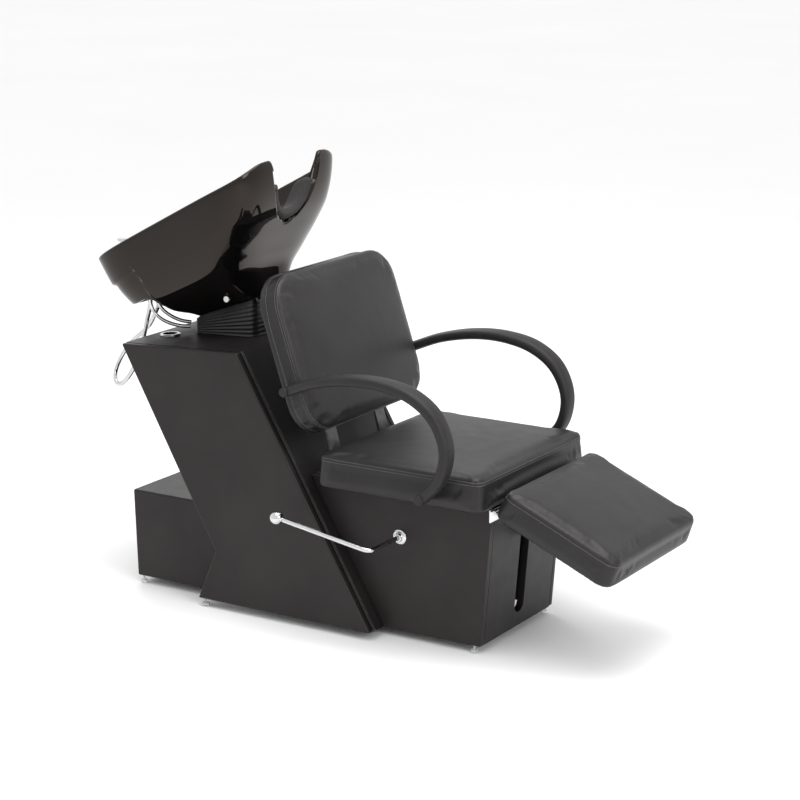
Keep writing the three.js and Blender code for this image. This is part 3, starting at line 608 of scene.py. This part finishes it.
def armrest(side, sign):
    line = smooth_curve([(x, sign * y, z) for x, z, y, _, _ in ARM_STATIONS], ARM_CUTS)
    sizes = smooth_curve([(thin, wide, 0.01 * i) for i, (_, _, _, thin,
                                                         wide) in enumerate(ARM_STATIONS)], ARM_CUTS)
    tangents = np.gradient(line, axis=0)
    rings = []
    count = 64
    ends = [(-11.5, 0.30), (-10, 0.55), (-7, 0.78), (-3.5, 0.94)]
    stations = [(0, back, share) for back, share in ends] + [(i, 0, 1.0) for i in range(len(line))]
    stations += [(len(line) - 1, -back, share) for back, share in ends[::-1]]
    for i, back, share in stations:
        along = tangents[i] / np.linalg.norm(tangents[i])
        out = np.array([along[2], 0, -along[0]])
        out /= np.linalg.norm(out)
        ring = []
        for turn in np.arange(count) * 2 * math.pi / count:
            c, s = math.cos(turn), math.sin(turn)
            across = sizes[i][1] / 2 * math.copysign(abs(c) ** 0.72, c) * (0.55 + 0.45 * share)
            outward = sizes[i][0] / 2 * math.copysign(abs(s) ** 0.72, s) * share
            ring.append(line[i] + along * back + out * outward + np.array([0, across, 0]))
        rings.append(ring)
    made = piece("armrest_" + side + "_skin", *skin(rings), UNIT, ARM, "main", "arm_plastic",
                 ["armrest_" + side])
    first, last = round(1.6 * ARM_CUTS), round(5.3 * ARM_CUTS)
    seam = []
    half = 0.62
    for i in range(first, last + 1):
        along = tangents[i] / np.linalg.norm(tangents[i])
        out = np.array([-along[2], 0, along[0]])
        ease = half * min(1.0, math.sqrt(max(0.0, (last - i) / 22))) * min(1.0,
                                                                           math.sqrt(max(0.0,
                                                                                         (i - first) / 22)))
        seam.append((i, out, ease))
    loop = [line[i] + out * sizes[i][0] * 0.5 + np.array([0, sizes[i][1] / 2 * e, 0]) for i, out, e in seam]
    loop += [line[i] + out * sizes[i][0] * 0.5 - np.array([0, sizes[i][1] / 2 * e, 0]) for i, out,
             e in seam[::-1]]
    press(made, [in_row(UNIT, loop + loop[:1])], 1.3, 1.8)
    for name, (x, z), face in (("rear", (-99, 604), 302), ("front", (281, 400), 313)):
        corners = [(0, -3), (11.5, -3), (11.5, 2.2), (9.5, 4.4), (4, 5), (0, 5)]
        cap = rounded_profile(corners, 1.4)
        bolt = "arm_bolt_" + name + "_" + side
        lathe(bolt + "_cap", cap, (x, sign * face, z), (0, sign, 0), UNIT, ARM, "main", "arm_plastic",
              [bolt])


# ---- Basin ----
# Height, rear, front, half-width and squareness of the outside, from the foot up.
HULL = np.array([
    (-300, 104, 322, 80, 3.6), (-262, 98, 326, 86, 3.6), (-235, 82, 332, 114, 3.6),
    (-200, 28, 344, 154, 3.8),
    (-165, 8, 382, 188, 4.0), (-125, -1, 434, 208, 4.6), (-84, -7, 485, 220, 5.0), (-40, -9, 521, 229, 5.0),
    (0, -9, 544, 235, 5.0), (30, -9, 556, 238, 5.0),
], float)
# The inside, from the rim down across the deck to the drain.
INSIDE = np.array([
    (30, 4, 545, 227, 5.0), (4, 3, 532, 223, 4.8), (-25, 5, 512, 218, 4.4), (-44, 8, 500, 213, 4.2),
    (-50, 16, 494, 208, 3.9), (-50.6, 88, 491, 206, 3.5), (-54, 99, 488, 203, 3.4),
    (-75, 106, 468, 197, 3.2),
    (-100, 113, 444, 187, 3.0), (-145, 137, 392, 157, 2.7), (-170, 165, 360, 125, 2.5),
    (-184, 196, 336, 80, 2.3),
    (-190, 225, 312, 44, 2.1), (-192, 244, 288, 22, 2.0),
], float)
FLOOR_LINE = [(-80, -134), (12, -140), (50, -146), (88, -148), (112, -160), (119, -182), (119, -206),
              (112, -233),
              (324, -259), (336, -420), (-80, -420)]
LIP = 6.0  # radius of the rim's rounded edge
HORN_RISE = 20  # how far the two horns stand over the rim's plane
HORN_EASE = 46.0  # how softly the rim turns down into the notch
COLUMN_GAP = 4.2  # between the mesh's columns at the rim
DRAIN_U = 266
WALL = 10  # the foot's wall


def smoothstep(value, low, high):
    t = np.clip((value - low) / (high - low), 0, 1)
    return t * t * (3 - 2 * t)


def eased(table, samples):
    """Monotone cubic through the table's columns, read at each sample of the row number."""
    rows = np.arange(len(table))
    steps = np.diff(table, axis=0)
    slope = np.zeros_like(table)
    same = steps[:-1] * steps[1:] > 0
    with np.errstate(divide="ignore", invalid="ignore"):
        mean = 2 * steps[:-1] * steps[1:] / (steps[:-1] + steps[1:])
    slope[1:-1] = np.where(same, mean, 0)
    slope[0], slope[-1] = steps[0], steps[-1]
    samples = np.asarray(samples, float)
    k = np.clip(samples.astype(int), 0, len(rows) - 2)
    t = (samples - k)[:, None]
    a, b, m, n = table[k], table[k + 1], slope[k], slope[k + 1]
    return (2 * t**3 - 3 * t**2 + 1) * a + (t**3 - 2 * t**2 + t) * m + (3 * t**2 - 2
                                                                        * t**3) * b + (t**3 - t**2) * n


def ring_point(turn, x0, x1, half, power):
    c, s = np.cos(turn), np.sin(turn)
    u = (x0 + x1) / 2 + (x1 - x0) / 2 * np.sign(c) * np.abs(c) ** (2 / power)
    return u, half * np.sign(s) * np.abs(s) ** (2 / power)


def by_height(table, w):
    """The table's other columns at heights w, smooth between rows."""
    dense = eased(table, np.linspace(0, len(table) - 1, 400))
    dense = dense[np.argsort(dense[:, 0], kind="stable")]
    return [np.interp(w, dense[:, 0], dense[:, k]) for k in range(1, 5)]


def notch_edge(y):
    """Height of the neck notch's edge at a distance y from the middle."""
    t = np.linspace(0, 1, 60)
    across = (1 - t) ** 3 * 101 + 3 * (1 - t) ** 2 * t * 88 + 3 * (1 - t) * t * t * 48
    height = (1 - t) ** 3 * -10 + 3 * (1 - t) ** 2 * t * -86 + 3 * (1 - t) * t * t * -112 + t**3 * -112
    curve = np.interp(np.abs(y), across[::-1], height[::-1])
    return np.where(np.abs(y) > 101, -10 + (np.abs(y) - 101) * 6, curve)


def column_turns():
    """The columns' turns round the bowl, about 4 mm apart at the rim and closer by the notch."""
    turns = np.linspace(0, 2 * math.pi, 8001)
    u, y = ring_point(turns, *by_height(HULL, 0.0))
    stride = np.hypot(np.diff(u), np.diff(y))
    near = (u[:-1] > 300) & (np.abs(np.abs(y[:-1]) - 100) < 18)
    weight = stride * np.where(near, 3.0, 1.0)
    walked = np.concatenate([[0], np.cumsum(weight)])
    count = int(walked[-1] / COLUMN_GAP)
    return np.interp(np.linspace(0, walked[-1], count, endpoint=False), walked, turns)


def inside_polygon(u, w, outline):
    hit = np.zeros(np.shape(u), bool)
    for (x0, z0), (x1, z1) in zip(outline, outline[1:] + outline[:1]):
        crosses = (z0 > w) != (z1 > w)
        with np.errstate(divide="ignore", invalid="ignore"):
            at = (x1 - x0) * (w - z0) / (z1 - z0) + x0
        hit ^= crosses & (u < at)
    return hit


def hull_point(turns, w, inset=0.0):
    """Points on the outside at heights w, one for each turn, with the step round the rear."""
    x0, x1, half, power = by_height(HULL, w)
    x0 = x0 - 11 * smoothstep(w, -86, -76)
    u, y = ring_point(turns, x0 + inset, x1 - inset, half - inset, power)
    return np.stack([u, y, w * np.ones_like(u)], axis=-1)


def basin():
    turns = column_turns()
    rim_u, rim_y = ring_point(turns, *by_height(HULL, 0.0))
    lift = np.where(rim_u > 300, HORN_RISE * smoothstep(-np.abs(rim_y), -235, -130), 0)
    notch = np.where(rim_u > 300, notch_edge(rim_y), 999.0)
    share = np.clip(0.5 + 0.5 * (lift - notch) / HORN_EASE, 0, 1)
    rim = lift + (notch - lift) * share - HORN_EASE * share * (1 - share) - LIP
    rim = np.where(notch > 500, lift - LIP, rim)
    heights = np.arange(-100.0, -300.0, -0.5)
    low = np.full(len(turns), -299.0)
    for w in heights[::-1]:
        at = hull_point(turns, np.full(len(turns), w))
        low = np.where(inside_polygon(at[:, 0], at[:, 2], FLOOR_LINE), w, low)
    rows = []
    for share in np.linspace(0, 1, 40):
        rows.append(hull_point(turns, low + (rim - low) * share))
    inner = eased(INSIDE, np.linspace(1, len(INSIDE) - 1, 52))
    first = []
    for w, x0, x1, half, power in inner:
        height = np.minimum(w, rim)
        c0, c1, ch, cp = by_height(INSIDE, height)
        held = w > rim
        u, y = ring_point(turns, np.where(held, c0, x0), np.where(held, c1, x1), np.where(held, ch, half),
                          np.where(held, cp, power))
        first.append(np.stack([u, y, height], axis=-1))
    shoulder_out = rows[-1]
    c0, c1, ch, cp = by_height(INSIDE, rim)
    u, y = ring_point(turns, c0, c1, ch, cp)
    shoulder_in = np.stack([u, y, rim], axis=-1)
    middle = (shoulder_out + shoulder_in) / 2
    along = np.roll(middle, -1, axis=0) - np.roll(middle, 1, axis=0)
    across = shoulder_out - middle
    up = np.cross(across, along)
    up /= np.linalg.norm(up, axis=1)[:, None]
    up *= np.where(up[:, 2:] < 0, -1, 1)
    for turn in np.radians(np.linspace(0, 180, 11)[1:]):
        rows.append(middle + across * math.cos(turn) + up * LIP * math.sin(turn))
    rows += first
    # Under the hollow: down the drain's wall, out below the bowl, then up and down inside the foot.
    cosine = np.cos(turns)
    high = np.interp(cosine, (-1, -0.5, -0.2, 0.5, 1), (-62, -62, -112, -208, -208))
    for depth, radius in ((-200, 22), (-203, 24), (-204, 40)):
        u, y = ring_point(turns, DRAIN_U - radius, DRAIN_U + radius, radius, 2.0)
        rows.append(np.stack([u, y, np.full(len(turns), float(depth))], axis=-1))
    for share in np.linspace(0, 1, 10):
        w = -203 + (np.maximum(high, -203) + 203) * share
        c0, c1, ch, cp = by_height(INSIDE[5:], np.minimum(w + 10, -51))
        u, y = ring_point(turns, c0 - 10, c1 + 8, ch + 9, cp)
        rows.append(np.stack([u, y, w], axis=-1))
    for share in np.linspace(0, 1, 12):
        w = high + (low - high) * share
        rows.append(hull_point(turns, np.maximum(np.minimum(w, high), low), WALL))
    count = len(turns)
    points = np.concatenate(rows)
    faces = []
    for level_number in range(len(rows)):
        a, b = level_number * count, ((level_number + 1) % len(rows)) * count
        faces += [(a + i, a + (i + 1) % count, b + (i + 1) % count, b + i) for i in range(count)]
    return piece("basin_skin", points, faces, BASIN, GLAZE, "bowl", "black_ceramic", ["basin_bowl"])


def neck_rest():
    """The moulded roll in the neck notch, thick where the neck lies and cut on a slant."""
    t = np.linspace(0, 1, 40)
    quarter_y = (1 - t) ** 3 * 99 + 3 * (1 - t) ** 2 * t * 86 + 3 * (1 - t) * t * t * 47
    quarter_w = (1 - t) ** 3 * -10 + 3 * (1 - t) ** 2 * t * -86 + 3 * (1 - t) * t * t * -109 + t**3 * -109
    path = [(y, w) for y, w in zip(quarter_y, quarter_w) if w < -33]
    path = path + [(-y, w) for y, w in path[::-1][1:]]
    path = even([(y, w, 0) for y, w in path], 4.0)
    tangents = np.gradient(path, axis=0)
    rings = []
    count = 36
    for number, ((y, w, _), tangent) in enumerate(zip(path, tangents)):
        tangent = tangent / np.linalg.norm(tangent)
        inward = np.array([tangent[1], -tangent[0]])
        if inward.dot((-y, 60)) < 0:
            inward = -inward
        close = min(number, len(path) - 1 - number)
        share = min(1.0, math.sqrt(1 - (1 - min(close, 4) / 4) ** 2) * 0.75 + 0.25)
        thick = np.interp(abs(y), (30, 75), (26, 34)) * (0.55 + 0.45 * share)
        back = np.interp(w, (-140, -28), (398, 474))
        front = np.interp(w, (-140, -92, -46, -28), (440, 480, 512, 520))
        ring = []
        for turn in np.arange(count) * 2 * math.pi / count:
            c, s = math.cos(turn), math.sin(turn)
            u = (back + front) / 2 + (front - back) / 2 * math.copysign(abs(c) ** 0.6, c) * share
            depth = thick / 2 + thick / 2 * math.copysign(abs(s) ** 0.6, s)
            ring.append((u, y + inward[0] * depth, w + inward[1] * depth))
        rings.append(ring)
    made = piece("neck_rest_roll", *skin(rings), BASIN, RUBBER, "bowl", "rubber", ["neck_rest_pad"])


# ---- Pleated boot between the body and the basin's foot ----
def boot():
    floor = np.poly1d([17 / 351, 648 + 631 * 17 / 351 + 0.8])
    tilt = math.radians(BASIN_TILT)

    def foot(u, w):
        return (-740 + u * math.cos(tilt) - w * math.sin(tilt),
                845 + u * math.sin(tilt) + w * math.cos(tilt))

    (x0, z0), (x1, z1) = foot(112, -233), foot(324, -259)
    rings = []
    pleats = 9
    for number in range(2 * pleats + 1):
        share = number / (2 * pleats)
        fold = 5.5 if number % 2 else 0.0
        loop = rounded_rectangle((-541 + fold, -349 - fold), (-65.5 + fold, 65.5 - fold), 22 - fold, 120)
        roof = z0 + (loop[:, 0] - x0) * (z1 - z0) / (x1 - x0) - 3 + 9 * smoothstep(loop[:, 0], -536, -500)
        loop[:, 2] = floor(loop[:, 0]) + (roof - floor(loop[:, 0])) * share
        rings.append(loop)
    inner = [loop.copy() for loop in rings[::-1]]
    for loop in inner:
        centre = np.array([-441.0, 0.0])
        loop[:, :2] = centre + (loop[:, :2] - centre) * np.array([0.975, 0.96])
    rings += inner
    points, faces = skin(rings + [rings[0]], closed=False)
    made = piece("tilt_boot_pleats", points, faces, UNIT, BOOT, None, "rubber", ["tilt_boot"])
    crease = made.modifiers.new("round", "SUBSURF")
    crease.levels = 1
    apply_modifiers(made)
    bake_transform(made)


# ---- Hoses: spiral-wound chrome ----
SHOWER_ROUTE = [
    (-651.8, -100, 772.6), (-647, -100, 763), (-644, -100, 742), (-646, -101, 716), (-654, -104, 680),
    (-660, -110, 642), (-668, -117, 602), (-684, -122, 560), (-710, -121, 524), (-741, -110, 503),
    (-770, -92, 503),
    (-788, -70, 522), (-786, -52, 552), (-768, -44, 584), (-739, -45, 612), (-705, -54, 636),
    (-677, -62, 660),
    (-657, -66, 690), (-646, -63, 718), (-643, -56, 748), (-650, -50, 772), (-656.9, -50, 783.2),
]
SUPPLY_ROUTES = {
    "hot": [
        (-639.5, -118, 778.8), (-634.8, -118, 770), (-632, -117.5, 748), (-632, -114, 724),
        (-626, -108, 703),
        (-611, -98, 686), (-590, -86, 675), (-568, -72, 669), (-550, -60, 668),
    ],
    "cold": [
        (-635.8, -100, 780.7), (-631, -100, 771.9), (-627, -100.5, 750), (-622, -98, 728), (-611, -91, 708),
        (-594, -79, 692), (-575, -64, 681), (-556, -48, 676),
    ],
}


def wound_hose(name, route, radius, rib, node):
    line = even(smooth_curve(route), rib / 2)
    radii = np.where(np.arange(len(line)) % 2 == 0, radius, radius - 0.45)
    made = piece(name, *skin(tube_rings(line, radii, 14)), UNIT, CHROME, None, "chrome", [node])
    path = in_row(UNIT, even(smooth_curve(route), 4))
    return made, path


def hoses():
    made, path = wound_hose("shower_hose_wound", SHOWER_ROUTE, 6.0, 2.6, "shower_hose")
    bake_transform(made)
    for name, route in SUPPLY_ROUTES.items():
        made, path = wound_hose("supply_hose_" + name + "_wound", route, 5.0, 2.4, "supply_hose_" + name)
        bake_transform(made)


# ---- Metal fittings ----
def lever():
    x, y, z = 149, -316, 256
    ball_x, ball_z = -113, 297
    reach = np.array([ball_x - x, 0, ball_z - z], float)
    size = np.linalg.norm(reach)
    reach /= size
    pivot = np.array([x, y, z], float)
    route = [(x, -30, z), (x, -200, z), (x, -292, z), (x - 2, -306, z),
             tuple(pivot + reach * 13 + (0, 1, 0)),
             tuple(pivot + reach * 30), tuple(pivot + reach * 120), tuple(pivot + reach * (size - 17.6))]
    line = even(smooth_curve(route, 18), 3)
    piece("lever_arm_skin", *skin(tube_rings(line, 6, 24)), UNIT, CHROME, "lever", "chrome", ["lever_arm"])
    turns = np.radians(np.linspace(-90, 90, 25))
    ball = [(max(0.05, 17.2 * math.cos(t)), 17.2 * math.sin(t)) for t in turns]
    ball = ball[:-3] + [(5.5, 16.6), (5.5, 17.0), (0.05, 17.0)]
    lathe("lever_ball_skin", ball, (ball_x, y, ball_z), (-reach[0], 0, -reach[2]), UNIT, CHROME,
          "lever", "chrome",
          ["lever_ball"])
    corners = [(6.5, 0.3), (19, 0.3), (19, 2.6), (16, 4.4), (11, 5), (11, 12.5), (9.6, 14), (6.5, 14),
               (6.5, 0.3)]
    lathe("lever_flange_skin", rounded_profile(corners, 1.0), (x, -BASE_HALF, z), (0, -1, 0), UNIT,
          CHROME, "main",
          "chrome", ["lever_flange"])


def taps():
    tap, spray = (44, -106), (44, -50)
    body = [(0, -86), (12, -86), (12, -49.5), (25, -49.5), (25, -46), (21.5, -42.5), (20, -36),
            (20, -6), (0, -6)]
    rounded_copy("mixer_body", 0.8, CHROME, 2, 40)
    lathe("mixer_column", rounded_profile(body, 1.6), (*tap, 0), (0, 0, 1), BASIN, CHROME, "bowl", "chrome")
    cap = [(0, -5.5), (20, -5.5), (20, 5), (18.5, 9.5), (14, 12), (0, 12)]
    lathe("mixer_cap_skin", rounded_profile(cap, 1.8), (*tap, 0), (0, 0, 1), BASIN, CHROME, "mixer_cap",
          "chrome",
          ["mixer_cap"])
    rounded_copy("mixer_lever", 2.6, CHROME, 4)
    socket = [(10.6, -66), (13.6, -66), (13.6, -49.6), (20, -49.6), (20, -46), (17, -43), (10.6, -43),
              (10.6, -66)]
    lathe("spray_socket_skin", rounded_profile(socket, 0.8), (*spray, 0), (0, 0, 1), BASIN, CHROME,
          "bowl", "chrome",
          ["spray_socket"])
    head = [(0, -92), (7, -92), (10, -86), (10, -42.5), (13, -38), (18, -14), (18, -5), (15.5, -1), (0, -1)]
    lathe("hand_spray_skin", rounded_profile(head, 1.6), (*spray, 0), (0, 0, 1), BASIN, CHROME,
          "hand_spray", "chrome",
          ["hand_spray"])
    strainer = [(0, -192), (17, -192), (18.5, -188.6), (24, -188.6), (24, -186.8), (18, -185.4), (0, -185)]
    lathe("drain_strainer_skin", rounded_profile(strainer, 0.6), (DRAIN_U, 0, 0), (0, 0, 1), BASIN,
          CHROME, "strainer",
          "chrome", ["drain_strainer"])


def small_parts():
    for node in ("clamp_screw_r", "clamp_screw_l", "hose_grommet_ring", "leg_hinge_moving_leaf",
                 "leg_hinge_fixed_leaf", "drain_outlet"):
        rounded_copy(node, 0.6, CHROME, 2, 40)
    for node in ("strut_leg_clevis", "strut_base_clevis", "back_bracket", "tilt_cradle", "tilt_bracket",
                 "tilt_pin",
                 "release_cam", "arm_spacer_r", "arm_spacer_l"):
        rounded_copy(node, 0.5, STEEL, 2, 40)
    rounded_copy("strut_rod", 0.3, CHROME, 2, 40)
    rounded_copy("strut_cylinder", 0.5, RUBBER, 2, 40)
    rounded_copy("base_top_board", 1.0, LINING, 2)
    for name, x, y, radius in (("plinth", -636, 167, 8.5), ("body", -392, 232, 9.5),
                               ("base", 352, 171, 8.5)):
        for side, sign in (("r", -1), ("l", 1)):
            corners = [(0.05, 0), (radius - 2, 0), (radius, 2.5), (radius, 8), (radius - 3, 10),
                       (3, 11), (3, 19.6), (0.05, 19.6)]
            glide = "glide_" + name + "_" + side
            lathe(glide + "_skin", rounded_profile(corners, 0.8), (x, sign * y, 0), (0, 0, 1), UNIT,
                  CLEAR, "main",
                  "clear_plastic", [glide])


# ---- Stage ----
def stage():
    floor_mesh = bpy.data.meshes.new("floor")
    reach = 30
    floor_mesh.from_pydata([(-reach, -reach, 0), (reach, -reach, 0), (reach, reach, 0),
                            (-reach, reach, 0)], [],
                           [(0, 1, 2, 3)])
    floor = bpy.data.objects.new("floor", floor_mesh)
    scene.collection.objects.link(floor)
    paper, tree, shader = new_material("paper", 0.9, Specular_IOR_Level=0.1)
    tone, _ = add_noise(tree, 0.6)
    vary_colour(tree, shader, tone, (0.90, 0.90, 0.90), (0.92, 0.92, 0.92))
    floor.data.materials.append(paper)
    world = bpy.data.worlds.new("studio")
    scene.world = world
    world.use_nodes = True
    world.node_tree.nodes["Background"].inputs["Color"].default_value = (1.0, 1.0, 1.0, 1)
    world.node_tree.nodes["Background"].inputs["Strength"].default_value = 1.05
    for name, at, size, power in (("top", (0.5, -0.3, 3.2), 2.2, 70), ("front", (3.4, -1.6, 2.0), 1.4, 36),
                                  ("rear", (-2.4, 2.0, 2.6), 1.4, 24)):
        light = bpy.data.lights.new(name, "AREA")
        light.size = size
        light.energy = power
        lamp = bpy.data.objects.new(name, light)
        scene.collection.objects.link(lamp)
        lamp.location = at
        lamp.rotation_euler = (Vector((0, 0, 0.5)) - Vector(at)).to_track_quat("-Z", "Y").to_euler()
    scene.view_settings.view_transform = "Standard"


def camera():
    lens = bpy.data.cameras.new("camera")
    lens.sensor_width = 36
    lens.lens = CAMERA_LENS
    view = bpy.data.objects.new("camera", lens)
    scene.collection.objects.link(view)
    azimuth, elevation = math.radians(CAMERA_AZIMUTH), math.radians(CAMERA_ELEVATION)
    back = Vector((math.sin(azimuth) * math.cos(elevation), -math.cos(azimuth) * math.cos(elevation),
                   math.sin(elevation)))
    view.location = CAMERA_AT
    view.rotation_euler = back.to_track_quat("Z", "Y").to_euler()
    scene.camera = view


camera()
hoses()
seat()
backrest()
leg_rest()
boxes()
for side_name, side_sign in (("r", -1), ("l", 1)):
    armrest(side_name, side_sign)
basin()
neck_rest()
boot()
lever()
taps()
small_parts()
stage()
